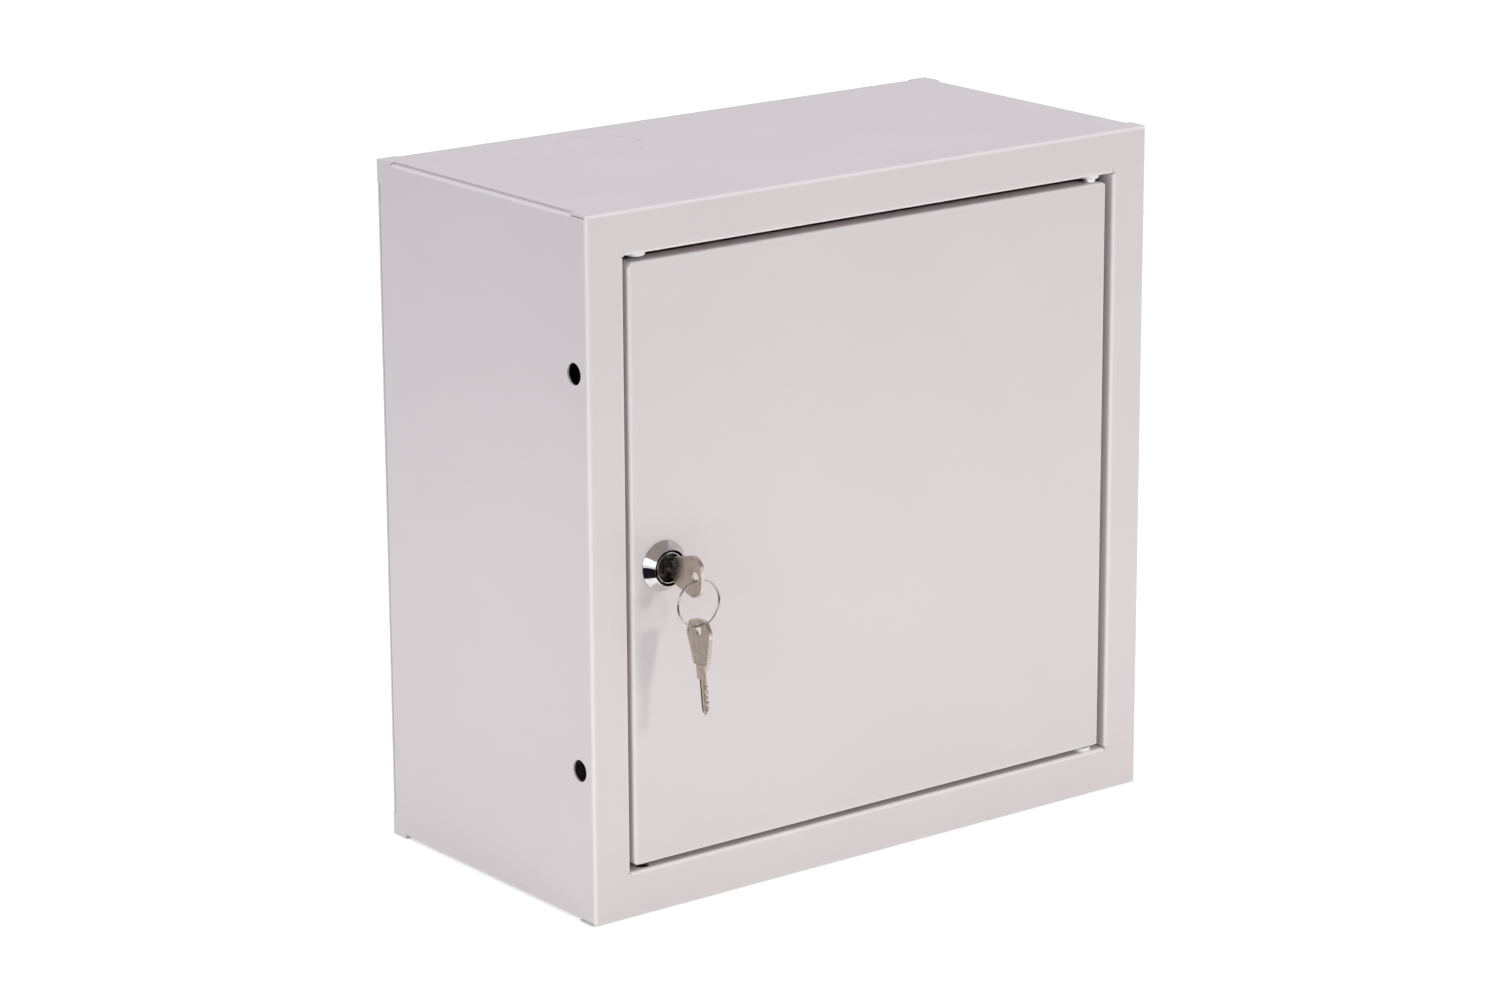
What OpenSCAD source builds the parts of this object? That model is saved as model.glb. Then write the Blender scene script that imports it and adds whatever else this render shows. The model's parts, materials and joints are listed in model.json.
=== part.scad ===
// Steel wall enclosure with an inset hinged door, cam lock and two keys.
// X runs along the front, Y into the wall, Z up. The origin is the centre of the wall
// fixing holes, on the rear face of the rear panel.

/* [Cabinet] */
// Width over the side walls
body_w = 400; // [300:1:600]
// Height over the top and bottom
body_h = 400; // [300:1:600]
// Depth from the front face to the wall
body_d = 200; // [120:1:300]
// Thickness of the folded sheet
sheet = 1.2; // [0.8:0.1:1.5]
// Outside radius of the folds
bend_r = 2.4; // [2:0.1:3]
// Width of the frame above and beside the opening
rail_w = 25; // [23:0.5:40]
// Width of the frame below the opening
sill_w = 26.5; // [23:0.5:40]
// Depth of the lip round the opening, from the front face
lip_depth = 14; // [13.5:0.1:18]
// Length of the unfolded corner behind the front face
ear_front = 14; // [8:0.5:20]
// Length of the unfolded corner at the rear
ear_rear = 13; // [8:0.5:20]
// Width of the lap flange under the top and bottom sheets
lap_w = 14; // [10:0.5:20]
// How far the top and bottom sheets stay inside the side folds
edge_inset = 3.3; // [2.6:0.1:5]
// Open gap at unfolded corners
corner_gap = 0.5; // [0.3:0.1:1]
// Width of the rear flanges that carry the rear panel
rear_flange_w = 15; // [10:0.5:25]

/* [Holes in the cabinet] */
// Diameter of the two holes in each side wall
side_hole_d = 12.5; // [6:0.5:14]
// Distance of the side holes behind the front face
side_hole_setback = 12.5; // [12:0.5:30]
// Distance between the two side holes
side_hole_span = 224; // [100:1:240]
// Diameter of the knock-outs in the top and bottom
knockout_d = 50.5; // [20:0.5:60]
// Knock-out centre, from the middle of the cabinet
knockout_x = -78; // [-100:1:100]
// Knock-out centre, in front of the rear face
knockout_rear = 45; // [35:1:60]
// Width of the scored line round a knock-out
score_w = 0.4; // [0.3:0.1:1]
// Depth of the scored line
score_depth = 0.3; // [0.2:0.1:0.7]
// Diameter of the wall fixing holes
wall_hole_d = 8; // [5:0.5:10]
// Distance between wall fixing holes, across
wall_hole_span_x = 350; // [200:1:352]
// Distance between wall fixing holes, up
wall_hole_span_z = 350; // [200:1:352]

/* [Door] */
// Gap at the lock side of the door
gap_lock = 3; // [2:0.1:5]
// Gap at the hinge side of the door
gap_hinge = 5; // [4.5:0.1:7]
// Gap above the door
gap_top = 4.4; // [3.2:0.1:6]
// Gap below the door
gap_bottom = 2.9; // [2.8:0.1:6]
// How far the door lies behind the frame
door_set_back = 0.5; // [0:0.1:0.8]
// Depth of the folded edge of the door
door_edge = 13.5; // [12:0.1:13.5]
// Thickness of the door sheet
door_sheet = 1.2; // [0.8:0.1:1.5]
// Outside radius of the door folds
door_bend_r = 2.2; // [2:0.1:3]
// Radius of the door corners
door_corner_r = 3.5; // [2.5:0.1:6]

/* [Hinge] */
// Pin axis, in from the side of the opening
pin_inset = 12.5; // [12:0.1:16]
// Pin axis, behind the front face
pin_setback = 7.5; // [7:0.1:8]
// Diameter of the hinge pins
pin_d = 5; // [4:0.1:5.5]
// Clearance on radius between pin and bush
pin_clearance = 0.05; // [0.02:0.01:0.09]
// Diameter of the holes in the lips for bushes
bush_hole_d = 8.4; // [8:0.1:9]
// Diameter of the bush heads
bush_head_d = 11.4; // [10.5:0.1:13]
// Thickness of the bush heads
bush_head_h = 2; // [1.5:0.1:2.2]
// Play between bush head and pin collar
collar_gap = 0.3; // [0.2:0.05:0.4]

/* [Lock] */
// Lock axis, in from the free edge of the door
lock_inset = 21.5; // [20:0.5:24]
// Lock axis, below the middle of the door
lock_drop = 1; // [0:0.1:20]
// Diameter of the conical rosette
rosette_d = 29; // [27:0.1:30]
// Height of the rosette above the door
rosette_h = 6.5; // [5.5:0.1:7]
// Diameter of the lock barrel behind the door
barrel_d = 19; // [18.6:0.1:19.4]
// Width over the two flats of the barrel
barrel_flats = 16; // [15.5:0.1:18]
// Length of the lock from the door face to the cam
barrel_len = 22; // [21.5:0.1:26]
// Diameter of the turning plug
plug_d = 13; // [12.4:0.1:13.4]
// Clearance on radius between plug and barrel
plug_clearance = 0.05; // [0.02:0.01:0.09]
// Depth of the plug face inside the rosette
plug_recess = 4.5; // [3.5:0.1:5]
// Thickness of the cam
cam_t = 2.5; // [2:0.1:3]
// Reach of the cam from the lock axis
cam_reach = 33.5; // [31:0.5:36]
// Width of the cam
cam_w = 14; // [12:0.5:15]
// Clearance between the cam and the lip that it catches
cam_gap = 1.2; // [0.8:0.1:2]

/* [Keys] */
// Length of a key
key_len = 53; // [50:0.5:53.5]
// Thickness of the bow
key_t = 2.4; // [1.8:0.1:2.6]
// Thickness of the blade
blade_t = 1.8; // [1.4:0.1:2]
// Length of the bow
bow_len = 25.4; // [24:0.2:28]
// Width of the bow where it is widest
bow_w = 24; // [20:0.5:26]
// Width of the bow at its end
bow_end_w = 19; // [14:0.5:20]
// Width of the bow beside the shoulder
bow_neck_w = 15; // [12:0.5:16]
// Width of the shoulder
shoulder_w = 10; // [8:0.5:10.5]
// Length of the shoulder
shoulder_len = 8.4; // [7:0.1:9]
// Width of the blade
blade_w = 6.8; // [5:0.1:7.2]
// Clearance round the blade in the keyway
keyway_gap = 0.2; // [0.1:0.05:0.3]
// Diameter of the hole in the bow
bow_hole_d = 6.4; // [6.2:0.1:7]
// Hole centre from the end of the bow
bow_hole_in = 6.2; // [6:0.1:9]
// Mean radius of the key ring
ring_r = 13; // [11:0.5:15]
// Diameter of the ring wire
ring_wire = 1; // [0.8:0.1:1.1]
// How far the ring hangs to the right of the key
ring_shift = 1.6; // [0:0.1:3]
// Turn of the ring and the spare key towards the lock side
ring_yaw = 6; // [0:1:10]
// Lean of the spare key towards the front
spare_lean = 8; // [0:1:12]

/* [Mounting plate] */
// Width of the mounting plate
plate_w = 320; // [200:1:322]
// Height of the mounting plate
plate_h = 320; // [200:1:322]
// Thickness of the mounting plate
plate_t = 2; // [1.5:0.1:3]
// Distance of the plate from the rear panel
plate_stand = 18; // [12:0.5:30]
// Distance of the plate studs from the plate edges
plate_hole_in = 15; // [12:0.5:25]
// Diameter of the plate studs
stud_d = 8; // [6:1:8]
// Diameter of the earth studs
earth_d = 6; // [5:0.5:6]

/* [Hidden] */
$fn = 64;
cut = 1;                                      // how far cutters run past a face
front = -body_d;                              // front face of the frame
open_w = body_w - 2 * rail_w;
open_h = body_h - rail_w - sill_w;
open_z = (sill_w - rail_w) / 2;               // middle of the opening
fold_r = bend_r;
slit = 0.3;                                   // half of a relief slit
lap_y0 = front + ear_front;
lap_y1 = -ear_rear;

door_x0 = -open_w / 2 + gap_lock;
door_x1 = open_w / 2 - gap_hinge;
door_z0 = open_z - open_h / 2 + gap_bottom;
door_z1 = open_z + open_h / 2 - gap_top;
door_face = front + door_set_back;
door_back = door_face + door_edge;

pin_x = open_w / 2 - pin_inset;
pin_y = front + pin_setback;

lock_x = door_x0 + lock_inset;
lock_z = (door_z0 + door_z1) / 2 - lock_drop;
rosette_top_d = 21.4;
rosette_bore_d = 20.2;
barrel_flange_d = 25;
barrel_flange_t = 1;
sleeve_d = 17.4;                              // bright ring inside the rosette
sleeve_bore_d = 15.8;
sleeve_h = rosette_h - 0.4;
plug_face = door_face - rosette_h + plug_recess;
cam_hub_y = door_face + barrel_len;
cam_tip_y = front + lip_depth + cam_gap;
tang_w = 7;
screw_d = 5;
lock_nut_t = 4;

key_tip_gap = 0.6;
key_end_y = plug_face - 0.1 - shoulder_len - bow_len;
blade_len = key_len - bow_len - shoulder_len;
keyway_depth = blade_len + key_tip_gap;
wire_drop = 2;                                // wire centre below the centre of a bow hole
hole_y = key_end_y + bow_hole_in;
ring_z = lock_z - wire_drop - sqrt(ring_r * ring_r - ring_shift * ring_shift);
turn_pitch = ring_wire * 0.96;                // the two turns touch

plate_y0 = -sheet - plate_stand - plate_t;
plate_y1 = -sheet - plate_stand;
washer_t = 1.6;
stud_x = plate_w / 2 - plate_hole_in;
stud_z = plate_h / 2 - plate_hole_in;
nut_t = 0.8 * stud_d;
earth_nut_t = 0.8 * earth_d;
earth_gap = 2;                                // round the earth stud and its washer
earth_z = rear_flange_w - body_h / 2 + earth_d + earth_gap;
door_earth_x = door_x1 - 30;
door_earth_z = door_z0 + 30;

frame_white = [0.86, 0.84, 0.84];
zinc_grey = [0.72, 0.73, 0.74];
chrome_grey = [0.80, 0.80, 0.80];
nickel_tan = [0.68, 0.64, 0.58];
bush_white = [0.95, 0.95, 0.93];

// ---- shared shapes ----

// Rectangle a0..a1 by f..b whose two corners at f are round.
module plan_outline(a0, a1, f, b, r) {
    translate([a0, f + r])
        square([a1 - a0, b - f - r]);
    translate([a0 + r, f])
        square([a1 - a0 - 2 * r, 2 * r]);
    for (a = [a0 + r, a1 - r])
        translate([a, f + r])
            circle(r);
}

// Box from lo to hi whose four front edges are folded with radius r.
module folded_box(lo, hi, r) {
    intersection() {
        translate([0, 0, lo[2]])
            linear_extrude(hi[2] - lo[2])
                plan_outline(lo[0], hi[0], lo[1], hi[1], r);
        rotate([0, 90, 0])
            translate([0, 0, lo[0]])
                linear_extrude(hi[0] - lo[0])
                    plan_outline(-hi[2], -lo[2], lo[1], hi[1], r);
    }
}

// Rectangle with four round corners.
module round_rect(lo, hi, r) {
    translate([lo[0] + r, lo[1]])
        square([hi[0] - lo[0] - 2 * r, hi[1] - lo[1]]);
    translate([lo[0], lo[1] + r])
        square([hi[0] - lo[0], hi[1] - lo[1] - 2 * r]);
    for (x = [lo[0] + r, hi[0] - r], y = [lo[1] + r, hi[1] - r])
        translate([x, y])
            circle(r);
}

// Section of a fold: the sheet arrives along -x at y = r, turns and runs down to y = -flat.
module fold_section(r, t, flat) {
    intersection() {
        difference() {
            circle(r);
            circle(r - t);
        }
        square(r + cut);
    }
    translate([r - t, -flat])
        square([t, flat]);
}

// Stands a shape that is modelled along +Z so that +Z points out of the door, to -Y.
module outwards(x, y, z) {
    translate([x, y, z])
        rotate([90, 0, 0])
            children();
}

// Hexagon nut with chamfered corners on +Z, across flats af.
module hex_nut(af, bore, t) {
    corner_d = af / cos(30);
    difference() {
        intersection() {
            cylinder(d = corner_d, h = t, $fn = 6);
            rotate_extrude()
                polygon([[0, 0], [af / 2, 0], [corner_d / 2, (corner_d - af) / 4],
                         [corner_d / 2, t - (corner_d - af) / 4], [af / 2, t], [0, t]]);
        }
        translate([0, 0, -cut])
            cylinder(d = bore, h = t + 2 * cut);
    }
}

module washer(d, bore, t) {
    difference() {
        cylinder(d = d, h = t);
        translate([0, 0, -cut])
            cylinder(d = bore, h = t + 2 * cut);
    }
}

// Threaded stud with a weld flange at its foot and a chamfered end.
module weld_stud(d, len) {
    rotate_extrude()
        polygon([[0, 0], [d / 2 + 1, 0], [d / 2 + 1, 0.8], [d / 2, 0.8],
                 [d / 2, len - d / 8], [d / 2 - d / 8, len], [0, len]]);
}

// ---- cabinet ----

// Lip along the side of the opening at x = -half.
module opening_lip(half, len) {
    translate([-half - fold_r, front + fold_r, -len / 2 + slit])
        mirror([0, 1, 0])
            linear_extrude(len - 2 * slit)
                fold_section(fold_r, sheet, lip_depth - fold_r);
}

// Flange at the rear edge of the wall at x = -half.
module rear_flange(half, len) {
    translate([-half + fold_r, -sheet - fold_r, -len / 2])
        rotate([0, 0, 90])
            linear_extrude(len)
                fold_section(fold_r, sheet, rear_flange_w - fold_r);
}

// Flange of the left wall that laps under the top sheet.
module lap_flange() {
    translate([-body_w / 2 + fold_r, lap_y1 - slit, body_h / 2 - sheet - fold_r])
        rotate([90, -90, 0])
            linear_extrude(lap_y1 - lap_y0 - 2 * slit)
                fold_section(fold_r, sheet, lap_w - fold_r);
}

// Walls and front face, open at the back.
module walls() {
    difference() {
        folded_box([-body_w / 2, front, -body_h / 2], [body_w / 2, 0, body_h / 2], fold_r);
        folded_box([-body_w / 2 + sheet, front + sheet, -body_h / 2 + sheet],
                   [body_w / 2 - sheet, cut, body_h / 2 - sheet], fold_r - sheet);
    }
}

// The flat front face stops where the lips begin to fold.
module opening_cut() {
    for (size = [[open_w + 2 * fold_r, open_h], [open_w, open_h + 2 * fold_r]])
        translate([-size[0] / 2, front - cut, -size[1] / 2])
            cube([size[0], sheet + 2 * cut, size[1]]);
}

// Room for the folds along one long edge, at the left and top.
module long_edge_cut() {
    translate([-body_w / 2 - cut, lap_y0, body_h / 2 - sheet - fold_r])
        cube([edge_inset + cut, lap_y1 - lap_y0, sheet + fold_r + cut]);
    translate([-body_w / 2 - cut, front + sheet, body_h / 2 - sheet - corner_gap])
        cube([fold_r + cut, ear_front - sheet + cut, corner_gap]);
}

// Room for a rear flange at x = -half.
module rear_edge_cut(half, len) {
    translate([-half - cut, -sheet - fold_r, -len / 2])
        cube([sheet + 2 * cut, sheet + fold_r + cut, len]);
}

module knockout_score() {
    translate([knockout_x, -knockout_rear, body_h / 2 - score_depth])
        difference() {
            cylinder(d = knockout_d + score_w, h = score_depth + cut);
            translate([0, 0, -cut])
                cylinder(d = knockout_d - score_w, h = score_depth + 3 * cut);
        }
}

module body_shell() {
    color(frame_white)
    difference() {
        union() {
            difference() {
                walls();
                translate([0, 0, open_z])
                    opening_cut();
                for (mx = [0, 1], mz = [0, 1])
                    mirror([mx, 0, 0])
                        mirror([0, 0, mz])
                            long_edge_cut();
                for (m = [0, 1]) {
                    mirror([m, 0, 0])
                        rear_edge_cut(body_w / 2, body_h - 2 * ear_rear);
                    mirror([0, 0, m])
                        rotate([0, 90, 0])
                            rear_edge_cut(body_h / 2, body_w - 2 * ear_rear);
                }
            }
            for (mx = [0, 1], mz = [0, 1])
                mirror([mx, 0, 0])
                    mirror([0, 0, mz])
                        lap_flange();
            translate([0, 0, open_z])
                for (m = [0, 1]) {
                    mirror([m, 0, 0])
                        opening_lip(open_w / 2, open_h);
                    mirror([0, 0, m])
                        rotate([0, 90, 0])
                            opening_lip(open_h / 2, open_w);
                }
            for (m = [0, 1]) {
                mirror([m, 0, 0])
                    rear_flange(body_w / 2, body_h - 2 * ear_rear);
                mirror([0, 0, m])
                    rotate([0, 90, 0])
                        rear_flange(body_h / 2, body_w - 2 * ear_rear);
            }
        }
        for (side = [-1, 1], z = [-side_hole_span / 2, side_hole_span / 2])
            translate([side * body_w / 2, front + side_hole_setback, z])
                rotate([0, 90, 0])
                    cylinder(d = side_hole_d, h = 2 * (sheet + cut), center = true);
        for (x = [-pin_x, pin_x], z = [-open_h / 2, open_h / 2])
            translate([x, pin_y, open_z + z])
                cylinder(d = bush_hole_d, h = 2 * (sheet + cut), center = true);
        for (m = [0, 1])
            mirror([0, 0, m])
                knockout_score();
    }
}

// Welded on the rear flanges, with its corners notched for the unfolded corners of the walls.
module rear_panel() {
    edge = 0.5;
    notch = 0.3;
    long_half = [body_w / 2 - edge, body_h / 2 - edge];
    short_half = [body_w / 2 - ear_rear - notch, body_h / 2 - ear_rear - notch];
    inner_half = [body_w / 2 - sheet - notch, body_h / 2 - sheet - notch];
    color(frame_white)
    difference() {
        for (half = [[long_half[0], short_half[1]], [short_half[0], long_half[1]], inner_half])
            translate([-half[0], -sheet, -half[1]])
                cube([2 * half[0], sheet, 2 * half[1]]);
        for (x = [-wall_hole_span_x / 2, wall_hole_span_x / 2], z = [-wall_hole_span_z / 2, wall_hole_span_z / 2])
            outwards(x, cut, z)
                cylinder(d = wall_hole_d, h = sheet + 2 * cut);
    }
}

// Head, neck and snap barbs of a bush that is pushed up into a lip, with its head on z = 0.
module snap_body(bore) {
    neck_r = bush_hole_d / 2 - 0.2;
    barb_r = bush_hole_d / 2 + 0.4;
    round_h = 0.6;
    rotate_extrude()
        polygon([[bore, -bush_head_h], [bush_head_d / 2 - round_h, -bush_head_h],
                 [bush_head_d / 2, -bush_head_h + round_h], [bush_head_d / 2, 0],
                 [neck_r, 0], [neck_r, sheet + 0.1], [barb_r, sheet + 0.1],
                 [neck_r - 0.4, sheet + 2.6], [bore, sheet + 2.6]]);
}

module upper_hinge_bush() {
    color(bush_white)
    translate([pin_x, pin_y, open_z + open_h / 2])
        snap_body(pin_d / 2 + pin_clearance);
}

module lower_hinge_bush() {
    color(bush_white)
    translate([pin_x, pin_y, open_z - open_h / 2])
        mirror([0, 0, 1])
            snap_body(pin_d / 2 + pin_clearance);
}

// Closes the unused upper hinge hole on the lock side.
module hole_plug() {
    color(bush_white)
    translate([-pin_x, pin_y, open_z + open_h / 2])
        snap_body(0);
}

// Two angles welded behind the lock-side lip stop the door when it shuts.
module door_stops() {
    stop_w = 16;
    stop_r = 1.8;
    stop_gap = 0.3;
    leg_x = -open_w / 2 - 2 * sheet;
    face_y = door_back + stop_gap;
    leg_front = front + fold_r + 3;
    color(frame_white)
    for (z = [-open_h / 4, open_h / 4]) {
        translate([leg_x, leg_front, z - stop_w / 2])
            cube([sheet, face_y + sheet - stop_r - leg_front, stop_w]);
        translate([leg_x + stop_r, face_y + sheet - stop_r, z - stop_w / 2])
            rotate([0, 0, 90])
                linear_extrude(stop_w)
                    fold_section(stop_r, sheet, gap_lock + 3 * sheet + 4 - stop_r);
    }
}

// ---- mounting plate ----

module at_plate_studs(y) {
    for (x = [-stud_x, stud_x], z = [-stud_z, stud_z])
        outwards(x, y, z)
            children();
}

module plate_studs() {
    color(zinc_grey)
    at_plate_studs(-sheet)
        weld_stud(stud_d, plate_stand + plate_t + washer_t + nut_t + 3);
}

// Tubes over the studs that hold the plate off the rear panel.
module plate_spacers() {
    color(zinc_grey)
    at_plate_studs(-sheet)
        difference() {
            cylinder(d = stud_d + 8, h = plate_stand);
            translate([0, 0, -cut])
                cylinder(d = stud_d + 0.6, h = plate_stand + 2 * cut);
            translate([0, 0, -cut])
                cylinder(d = stud_d + 2.6, h = 0.8 + 0.3 + cut);
        }
}

module mounting_plate() {
    color(zinc_grey)
    difference() {
        translate([0, plate_y1, 0])
            rotate([90, 0, 0])
                linear_extrude(plate_t)
                    round_rect([-plate_w / 2, -plate_h / 2], [plate_w / 2, plate_h / 2], 5);
        at_plate_studs(plate_y1 + cut)
            cylinder(d = stud_d + 1, h = plate_t + 2 * cut);
    }
}

module plate_washers() {
    color(zinc_grey)
    at_plate_studs(plate_y0)
        washer(2 * stud_d, stud_d + 0.4, washer_t);
}

module plate_nuts() {
    color(zinc_grey)
    at_plate_studs(plate_y0 - washer_t)
        hex_nut(1.625 * stud_d, stud_d + 0.2, nut_t);
}

// ---- earth studs ----

module body_earth_stud() {
    color(zinc_grey)
    outwards(0, -sheet, earth_z)
        weld_stud(earth_d, plate_stand - earth_gap);
}

module body_earth_washer() {
    color(zinc_grey)
    outwards(0, -sheet - 0.8, earth_z)
        washer(2 * earth_d, earth_d + 0.4, washer_t);
}

module body_earth_nut() {
    color("gold")
    outwards(0, -sheet - 0.8 - washer_t, earth_z)
        hex_nut(1.667 * earth_d, earth_d + 0.2, earth_nut_t);
}

module on_door_inside(y) {
    translate([door_earth_x, y, door_earth_z])
        rotate([-90, 0, 0])
            children();
}

module door_earth_stud() {
    color(zinc_grey)
    on_door_inside(door_face + door_sheet)
        weld_stud(earth_d, 16);
}

module door_earth_washer() {
    color(zinc_grey)
    on_door_inside(door_face + door_sheet + 0.8)
        washer(2 * earth_d, earth_d + 0.4, washer_t);
}

module door_earth_nut() {
    color("gold")
    on_door_inside(door_face + door_sheet + 0.8 + washer_t)
        hex_nut(1.667 * earth_d, earth_d + 0.2, earth_nut_t);
}

// ---- door ----

// Pan with folded edges and round corners.
module door_pan() {
    difference() {
        intersection() {
            folded_box([door_x0, door_face, door_z0], [door_x1, door_back, door_z1], door_bend_r);
            translate([0, door_back + cut, 0])
                rotate([90, 0, 0])
                    linear_extrude(door_edge + 2 * cut)
                        round_rect([door_x0, door_z0], [door_x1, door_z1], door_corner_r);
        }
        intersection() {
            folded_box([door_x0 + door_sheet, door_face + door_sheet, door_z0 + door_sheet],
                       [door_x1 - door_sheet, door_back + cut, door_z1 - door_sheet], door_bend_r - door_sheet);
            translate([0, door_back + 2 * cut, 0])
                rotate([90, 0, 0])
                    linear_extrude(door_edge + 3 * cut)
                        round_rect([door_x0 + door_sheet, door_z0 + door_sheet],
                                   [door_x1 - door_sheet, door_z1 - door_sheet], door_corner_r - door_sheet);
        }
    }
}

// Round outline with two flats, for the barrel and its hole.
module double_flat(d, flats, h) {
    intersection() {
        cylinder(d = d, h = h);
        translate([-flats / 2, -d, 0])
            cube([flats, 2 * d, h]);
    }
}

module door_panel() {
    color(frame_white)
    difference() {
        door_pan();
        outwards(lock_x, door_face + door_sheet + cut, lock_z)
            double_flat(barrel_d + 0.4, barrel_flats + 0.4, door_sheet + 2 * cut);
        for (z = [door_z0, door_z1])
            translate([pin_x, pin_y, z])
                cylinder(d = pin_d + 0.1, h = 2 * (door_sheet + cut), center = true);
    }
}

// Shouldered pin riveted through the folded edge of the door, edge outer face at z = 0.
module shoulder_pin(gap) {
    collar_h = gap - bush_head_h - collar_gap;
    reach = gap + sheet + 2;
    rivet_d = pin_d + 3;
    rotate_extrude()
        polygon([[0, -door_sheet - 1.2], [rivet_d / 2 - 0.7, -door_sheet - 1.2], [rivet_d / 2, -door_sheet - 0.5],
                 [rivet_d / 2, -door_sheet], [pin_d / 2, -door_sheet], [pin_d / 2, 0],
                 [pin_d / 2 + 1.5, 0], [pin_d / 2 + 1.5, collar_h], [pin_d / 2, collar_h],
                 [pin_d / 2, reach - 0.8], [pin_d / 2 - 0.8, reach], [0, reach]]);
}

module upper_hinge_pin() {
    color(chrome_grey)
    translate([pin_x, pin_y, door_z1])
        shoulder_pin(gap_top);
}

module lower_hinge_pin() {
    color(chrome_grey)
    translate([pin_x, pin_y, door_z0])
        mirror([0, 0, 1])
            shoulder_pin(gap_bottom);
}

// ---- lock ----

// Conical dress ring over the flange of the barrel.
module lock_rosette() {
    recess = barrel_flange_d / 2 + 0.2;
    color(chrome_grey)
    outwards(lock_x, door_face, lock_z)
        rotate_extrude()
            polygon([[rosette_bore_d / 2, barrel_flange_t], [recess, barrel_flange_t], [recess, 0],
                     [rosette_d / 2 - 0.2, 0], [rosette_d / 2, 0.3], [rosette_d / 2 - 0.2, 0.7],
                     [rosette_top_d / 2 + 0.4, rosette_h - 0.3], [rosette_top_d / 2, rosette_h],
                     [rosette_bore_d / 2 + 0.4, rosette_h], [rosette_bore_d / 2, rosette_h - 0.4]]);
}

module lock_barrel() {
    back = barrel_len - 1;
    color(zinc_grey)
    difference() {
        union() {
            outwards(lock_x, door_face, lock_z)
                cylinder(d = barrel_flange_d, h = barrel_flange_t);
            outwards(lock_x, door_face, lock_z)
                cylinder(d = sleeve_d, h = sleeve_h);
            outwards(lock_x, door_face + back, lock_z)
                double_flat(barrel_d, barrel_flats, back);
        }
        outwards(lock_x, door_face + back + cut, lock_z)
            cylinder(d = plug_d + 2 * plug_clearance, h = back + sleeve_h + 2 * cut);
        outwards(lock_x, plug_face + 0.3, lock_z)
            cylinder(d = sleeve_bore_d, h = rosette_h);
    }
}

// Hexagon nut that clamps the barrel to the door from inside.
module lock_nut() {
    color(zinc_grey)
    translate([lock_x, door_face + door_sheet, lock_z])
        rotate([-90, 0, 0])
            hex_nut(24, barrel_d + 0.3, lock_nut_t);
}

// The part of the lock that turns, with its keyway in front and a square tang behind.
module lock_plug() {
    plug_len = cam_hub_y - plug_face;
    slot_w = blade_t + 2 * keyway_gap;
    slot_h = blade_w + 2 * keyway_gap;
    color("dimgray")
    difference() {
        union() {
            outwards(lock_x, cam_hub_y, lock_z)
                cylinder(d = plug_d, h = plug_len);
            translate([lock_x - tang_w / 2, cam_hub_y - cut, lock_z - tang_w / 2])
                cube([tang_w, cam_t + cut, tang_w]);
        }
        translate([lock_x - slot_w / 2, plug_face - cut, lock_z - slot_h / 2])
            cube([slot_w, keyway_depth + cut, slot_h]);
        outwards(lock_x, cam_hub_y + cam_t + cut, lock_z)
            cylinder(d = screw_d - 0.5, h = cam_t + 4.5 + cut);
    }
}

// Cranked cam, modelled hanging down from the lock axis.
module lock_cam() {
    crank = cam_hub_y - cam_tip_y;
    crank_start = cam_w / 2 + 4;
    crank_end = crank_start + crank;
    hub = cam_w / 2 + 1;
    color(zinc_grey)
    translate([lock_x, 0, lock_z])
        difference() {
            intersection() {
                translate([-cam_w / 2 - cut, 0, 0])
                    rotate([90, 0, 90])
                        linear_extrude(cam_w + 2 * cut)
                            polygon([[cam_hub_y, hub], [cam_hub_y, -crank_start], [cam_tip_y, -crank_end],
                                     [cam_tip_y, -cam_reach], [cam_tip_y + cam_t, -cam_reach],
                                     [cam_tip_y + cam_t, -crank_end - 1], [cam_hub_y + cam_t, -crank_start - 1],
                                     [cam_hub_y + cam_t, hub]]);
                translate([0, cam_hub_y + cam_t + cut, 0])
                    rotate([90, 0, 0])
                        linear_extrude(crank + cam_t + 2 * cut) {
                            circle(hub);
                            round_rect([-cam_w / 2, -cam_reach], [cam_w / 2, 0], 3);
                        }
            }
            translate([-tang_w / 2 - 0.1, cam_hub_y - cut, -tang_w / 2 - 0.1])
                cube([tang_w + 0.2, cam_t + 2 * cut, tang_w + 0.2]);
        }
}

module behind_cam(y) {
    translate([lock_x, y, lock_z])
        rotate([-90, 0, 0])
            children();
}

module cam_washer() {
    color(zinc_grey)
    behind_cam(cam_hub_y + cam_t)
        washer(12, screw_d + 0.4, 1);
}

// Pan head screw with a cross recess, into the tang of the plug.
module cam_screw() {
    shank = cam_t + 1 + 4;
    color(zinc_grey)
    behind_cam(cam_hub_y + cam_t + 1)
        difference() {
            union() {
                rotate_extrude()
                    polygon([[0, 0], [4.5, 0], [4.5, 1.8], [3.6, 2.8], [2.2, 3.2], [0, 3.2]]);
                translate([0, 0, -shank])
                    cylinder(d = screw_d - 0.6, h = shank + 0.5);
            }
            for (a = [0, 90])
                rotate([0, 0, a])
                    translate([-2.4, -0.5, 1.6])
                        cube([4.8, 1, 2]);
        }
}

// ---- keys ----

// Bow with two rounded far corners, drawn from y = 0 at its end to y = bow_len.
module bow_outline() {
    corner_r = 3.2;
    widest_in = 7.5;
    hull() {
        for (side = [-1, 1]) {
            translate([side * (bow_end_w / 2 - corner_r), corner_r])
                circle(corner_r, $fn = 32);
            translate([side * (bow_w / 2 - corner_r), widest_in])
                circle(corner_r, $fn = 32);
            translate([side * (bow_neck_w / 2 - 1), bow_len - 1])
                circle(1, $fn = 32);
        }
    }
}

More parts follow.
